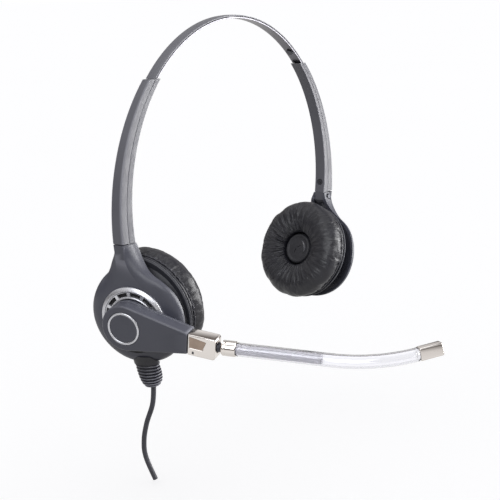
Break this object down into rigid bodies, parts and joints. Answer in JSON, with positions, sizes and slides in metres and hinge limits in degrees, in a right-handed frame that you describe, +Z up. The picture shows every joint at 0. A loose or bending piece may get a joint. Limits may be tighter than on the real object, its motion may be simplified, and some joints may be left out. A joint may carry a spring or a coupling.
{
  "type": "office headset",
  "caption": "Over-the-head headset with a thin spring band, sliding arms, pivoting ear cups, round ear cushions and a swinging boom with a clear voice tube.",
  "frame": {"origin": "on the symmetry plane, at the crown, on the underside of the headband where it rests on the head", "axes": "+Z up along the worn headset, -Y towards the wearer's front, X across the head; the boom is on the -X side, and left and right in names are as seen from the front"},
  "size_m": [0.188, 0.1607, 0.2172],
  "materials": {
    "housing_plastic": "satin dark blue-grey moulded plastic",
    "arm_plastic": "satin grey moulded plastic",
    "black_plastic": "fine-textured black moulded plastic",
    "spring_steel": "satin spring steel strip",
    "bright_chrome": "bright chrome plating",
    "silver_paint": "smooth metallic silver paint",
    "ear_leatherette": "soft black leatherette, pleated",
    "clear_acrylic": "clear acrylic tube",
    "cable_rubber": "matt dark grey rubber",
    "dark_steel": "dark zinc-plated steel"
  },
  "bodies": {
    "headband": {"headband_cover": "arm_plastic", "headband_strip": "spring_steel", "headband_rivet_left": "dark_steel", "headband_rivet_right": "dark_steel"},
    "arm_left": {"arm_outer_left": "arm_plastic", "arm_inner_left": "arm_plastic", "arm_screw_left": "dark_steel", "hinge_block_left": "arm_plastic", "pivot_pin_left": "dark_steel"},
    "arm_right": {"arm_outer_right": "arm_plastic", "arm_inner_right": "arm_plastic", "arm_screw_right": "dark_steel", "hinge_block_right": "arm_plastic", "pivot_pin_right": "dark_steel"},
    "cup_left": {"cup_shell_left": "housing_plastic", "vent_ring_left": "silver_paint", "ball_bracket_left": "black_plastic", "boom_hub": "housing_plastic", "strain_relief": "cable_rubber", "cable": "cable_rubber"},
    "cup_right": {"cup_shell_right": "housing_plastic", "vent_ring_right": "silver_paint", "ball_bracket_right": "black_plastic", "cup_cap": "housing_plastic", "cap_washer": "spring_steel"},
    "speaker_left": {"speaker_housing_left": "black_plastic", "cushion_ring_left": "black_plastic", "speaker_driver_left": "dark_steel", "speaker_grille_left": "black_plastic", "ear_cushion_left": "ear_leatherette"},
    "speaker_right": {"speaker_housing_right": "black_plastic", "cushion_ring_right": "black_plastic", "speaker_driver_right": "dark_steel", "speaker_grille_right": "black_plastic", "ear_cushion_right": "ear_leatherette"},
    "boom": {"boom_inner_housing": "housing_plastic", "boom_outer_housing": "housing_plastic", "boom_ring_inlay": "silver_paint", "boom_cap": "housing_plastic", "boom_axle": "dark_steel", "axle_washer": "spring_steel", "mic_housing": "bright_chrome", "mic_capsule": "dark_steel"},
    "tube_swivel": {"tube_ball": "dark_steel"},
    "tube": {"tube_ferrule": "bright_chrome", "tube_metal_core": "bright_chrome", "voice_tube": "clear_acrylic", "tube_tip": "bright_chrome"}
  },
  "joints": [
    {"name": "arm_left_extend", "type": "hinge", "parent": "headband", "child": "arm_left", "pos_m": [0, 0, -0.0849], "axis": [0, -1, 0], "range_deg": [0, 16]},
    {"name": "arm_right_extend", "type": "hinge", "parent": "headband", "child": "arm_right", "pos_m": [0, 0, -0.0849], "axis": [0, 1, 0], "range_deg": [0, 16]},
    {"name": "cup_left_pivot", "type": "hinge", "parent": "arm_left", "child": "cup_left", "pos_m": [-0.0835, 0, -0.0991], "axis": [0, 1, 0], "range_deg": [-8, 5]},
    {"name": "cup_right_pivot", "type": "hinge", "parent": "arm_right", "child": "cup_right", "pos_m": [0.0835, 0, -0.0991], "axis": [0, -1, 0], "range_deg": [-4, 9]},
    {"name": "speaker_left_swivel", "type": "hinge", "parent": "cup_left", "child": "speaker_left", "pos_m": [-0.07541, -0.00142, -0.13026], "axis": [-0.1771, 0, 0.9842], "range_deg": [-1, 13]},
    {"name": "speaker_right_swivel", "type": "hinge", "parent": "cup_right", "child": "speaker_right", "pos_m": [0.07241, -0.00142, -0.12932], "axis": [0.2723, 0, 0.9622], "range_deg": [-9, 4]},
    {"name": "boom_swing", "type": "hinge", "parent": "cup_left", "child": "boom", "pos_m": [-0.07821, -0.002, -0.13076], "axis": [-0.9644, -0.1994, -0.1735], "range_deg": [-45, 210]},
    {"name": "tube_swivel", "type": "hinge", "parent": "boom", "child": "tube_swivel", "pos_m": [-0.08118, -0.04766, -0.13956], "axis": [-0.1384, -0.1786, 0.9741], "range_deg": [-8, 8]},
    {"name": "tube_roll", "type": "hinge", "parent": "tube_swivel", "child": "tube", "pos_m": [-0.08118, -0.04766, -0.13956], "axis": [0.3412, -0.9376, -0.0666], "range_deg": [-60, 60]}
  ]
}
